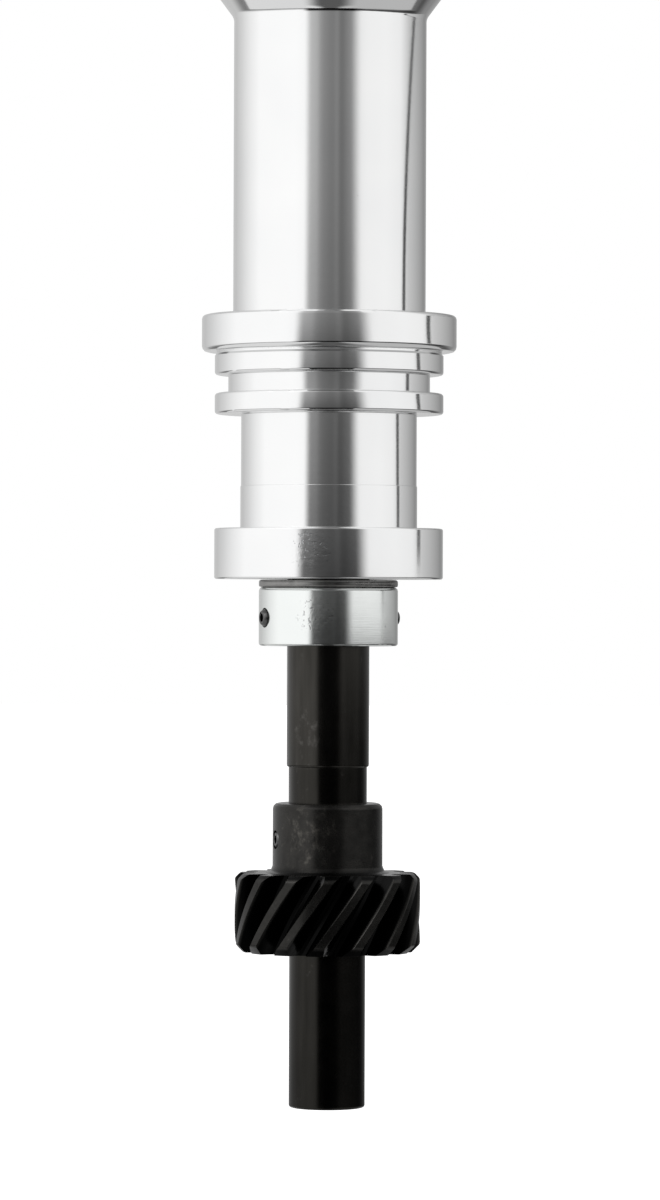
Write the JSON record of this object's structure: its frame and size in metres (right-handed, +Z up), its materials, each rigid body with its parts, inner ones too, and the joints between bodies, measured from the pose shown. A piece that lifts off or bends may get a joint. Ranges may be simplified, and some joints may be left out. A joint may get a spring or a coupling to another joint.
{
  "type": "ignition distributor",
  "caption": "Ignition distributor: turned aluminium housing with pilot rings and flange, shaft with helical drive gear, and a towered cap over a rotor and centrifugal advance.",
  "frame": {"origin": "on the shaft's centre line at the flange's underside, where the housing rests on the engine", "axes": "+Z up the shaft to the cap; the picture looks along +Y, with +X to the right; the pickup's lead leaves towards +Y"},
  "size_m": [0.084, 0.0856, 0.2916],
  "materials": {
    "billet": "turned and polished",
    "black_steel": "black oxide on steel",
    "bright_steel": "ground bright steel",
    "zinc_steel": "zinc plated",
    "spring_steel": "drawn spring wire",
    "bronze": "oil-filled sintered bronze",
    "brass": "plain brass",
    "moulded_plastic": "glass-filled moulding",
    "coil_plastic": "potted bobbin",
    "magnet": "plain",
    "rubber": "matt",
    "carbon": "pressed carbon"
  },
  "bodies": {
    "housing": {"housing": "billet", "lower_bushing": "bronze", "upper_bushing": "bronze", "pickup_bracket": "zinc_steel", "pickup_core": "bright_steel", "pickup_coil": "coil_plastic", "pickup_magnet": "magnet", "pickup_screws": "zinc_steel", "lead_grommet": "rubber", "cap": "moulded_plastic", "cap_terminals": "brass", "centre_terminal": "brass", "carbon_button": "carbon", "cap_screws": "zinc_steel"},
    "shaft": {"drive_shaft": "black_steel", "thrust_washer": "black_steel", "thrust_collar": "bright_steel", "collar_pin": "black_steel", "drive_gear": "black_steel", "gear_pin": "black_steel", "centre_cam": "zinc_steel", "stop_bushing": "bronze"},
    "advance": {"advance_sleeve": "bright_steel", "reluctor": "bright_steel", "weight_plate": "bright_steel", "weight_pins": "bright_steel", "spring_a": "spring_steel", "spring_b": "spring_steel", "rotor_posts": "bright_steel", "rotor": "moulded_plastic", "rotor_blade": "brass", "rotor_contact": "brass", "rotor_screws": "zinc_steel"},
    "weight_a": {"weight_a": "zinc_steel"},
    "weight_b": {"weight_b": "zinc_steel"}
  },
  "joints": [
    {"name": "shaft_turn", "type": "hinge", "parent": "housing", "child": "shaft", "pos_m": [0, 0, 0], "axis": [0, 0, 1], "continuous": true},
    {"name": "advance_turn", "type": "hinge", "parent": "shaft", "child": "advance", "pos_m": [0, 0, 0.1], "axis": [0, 0, 1], "range_deg": [0, 12.5], "stiffness_Nm_per_rad": 0.5, "springref_deg": -1.15, "deforming": ["spring_a", "spring_b"]},
    {"name": "weight_a_swing", "type": "hinge", "parent": "advance", "child": "weight_a", "pos_m": [0.021, 0, 0.1035], "axis": [0, 0, -1], "range_deg": [0, 25]},
    {"name": "weight_b_swing", "type": "hinge", "parent": "advance", "child": "weight_b", "pos_m": [-0.021, 0, 0.1035], "axis": [0, 0, -1], "range_deg": [0, 25]}
  ],
  "couplings": [
    {"joint": "weight_a_swing", "follows": "advance_turn", "ratio": 2},
    {"joint": "weight_b_swing", "follows": "advance_turn", "ratio": 2}
  ]
}
